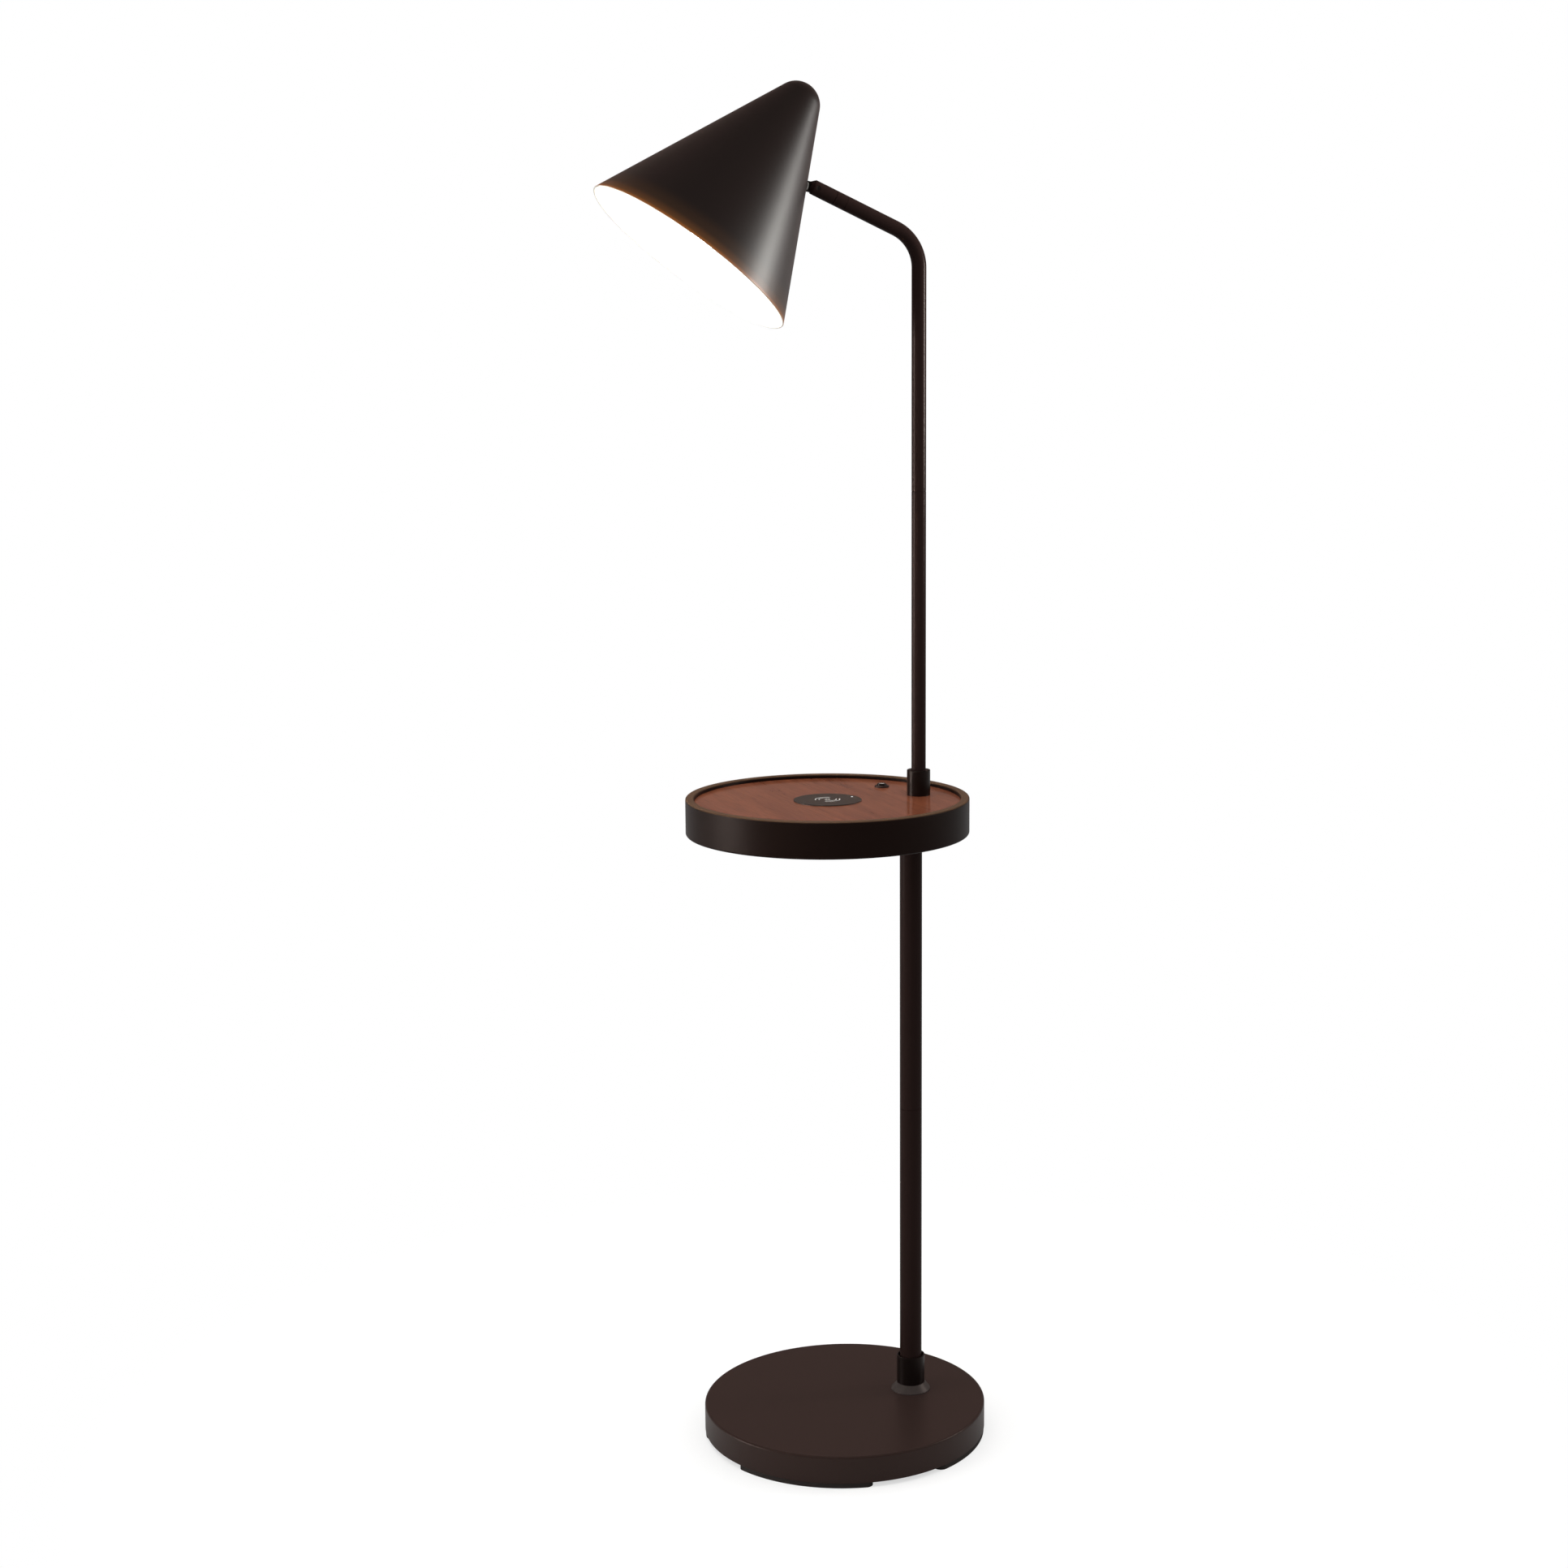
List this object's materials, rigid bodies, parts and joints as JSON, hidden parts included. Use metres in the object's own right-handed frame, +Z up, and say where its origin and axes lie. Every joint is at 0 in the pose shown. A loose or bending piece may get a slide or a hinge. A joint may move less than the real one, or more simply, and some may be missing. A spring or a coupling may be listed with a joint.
{
  "type": "shelf floor lamp",
  "caption": "Floor lamp on a round weighted base: pole, round tray shelf with charger pad and push switch, thin bent arm, and a cone shade that swivels and tilts.",
  "frame": {"origin": "on the floor, under the middle of the round base", "axes": "+Z up; +X from the middle of the base to the pole, so the arm and the shade reach over -X"},
  "size_m": [0.4245, 0.32, 1.4979],
  "materials": {
    "black_paint": "satin black-brown powder coat",
    "collar_paint": "satin black paint",
    "flange_satin": "satin dark grey paint",
    "dark_steel": "blackened steel",
    "shade_paint": "spun aluminium, satin black outside and white inside",
    "rim_paint": "painted fibreboard, satin black-brown",
    "veneer": "red-brown wood veneer, satin lacquer",
    "panel_black": "black fibreboard",
    "cement": "rough cast cement",
    "plate_plastic": "black plastic sheet",
    "foot_rubber": "black rubber",
    "zinc_steel": "zinc-plated steel",
    "charger_black": "dark grey satin plastic",
    "led_white": "clear white lens",
    "copper": "copper winding",
    "ferrite": "grey ferrite sheet",
    "board_green": "green circuit board",
    "button_black": "black gloss plastic",
    "socket_black": "black moulded resin",
    "socket_brass": "bare brass",
    "cap_metal": "bare aluminium",
    "bulb_white": "white plastic",
    "opal": "opal white diffuser"
  },
  "bodies": {
    "stand": {"arm_tube": "black_paint", "base_collar": "collar_paint", "base_cover": "black_paint", "base_flange": "flange_satin", "base_nipple": "zinc_steel", "base_nut": "zinc_steel", "base_plate": "plate_plastic", "base_screws": "zinc_steel", "base_washer": "zinc_steel", "base_weight": "cement", "button_bezel": "black_paint", "button_nut": "zinc_steel", "charger_board": "board_green", "charger_coil": "copper", "charger_cup": "charger_black", "charger_pad": "charger_black", "charger_shield": "ferrite", "cord_grommet": "plate_plastic", "foot_pad_1": "foot_rubber", "foot_pad_2": "foot_rubber", "foot_pad_3": "foot_rubber", "foot_pad_4": "foot_rubber", "foot_pad_5": "foot_rubber", "led_lens": "led_white", "offset_block": "zinc_steel", "pole_coupler": "zinc_steel", "pole_foot": "zinc_steel", "pole_head": "zinc_steel", "pole_section_1": "black_paint", "pole_section_2": "black_paint", "shelf_collar": "collar_paint", "shelf_floor": "panel_black", "shelf_nipple_lower": "zinc_steel", "shelf_nipple_upper": "zinc_steel", "shelf_rim": "rim_paint", "shelf_screws": "zinc_steel", "shelf_top": "veneer", "switch_body": "button_black", "swivel_spindle": "black_paint", "upper_coupler": "zinc_steel", "upper_foot": "zinc_steel", "upper_tube": "black_paint"},
    "knuckle": {"knuckle_barrel": "black_paint", "swivel_screw": "dark_steel", "tilt_pin": "dark_steel", "friction_washers": "foot_rubber"},
    "shade_head": {"shade_tongue": "dark_steel", "shade": "shade_paint", "socket_bracket": "zinc_steel", "stud_washer": "zinc_steel", "stud_nut": "zinc_steel", "lamp_socket": "socket_black", "socket_shell": "socket_brass", "socket_nipple": "zinc_steel", "socket_nut": "zinc_steel", "bulb_cap": "cap_metal", "bulb_neck": "bulb_white", "bulb_globe": "opal"},
    "button": {"power_button": "button_black"}
  },
  "joints": [
    {"name": "shade_swivel", "type": "hinge", "parent": "stand", "child": "knuckle", "pos_m": [-0.01099, 0, 1.38174], "axis": [-0.9135, 0, 0.4067], "range_deg": [-140, 140]},
    {"name": "shade_tilt", "type": "hinge", "parent": "knuckle", "child": "shade_head", "pos_m": [-0.02606, 0, 1.38845], "axis": [0, 1, 0], "range_deg": [-45, 45]},
    {"name": "power_press", "type": "slide", "parent": "stand", "child": "button", "axis": [0, 0, -1], "range_m": [0, 0.0016], "stiffness_N_per_m": 800, "springref_m": -0.001}
  ]
}
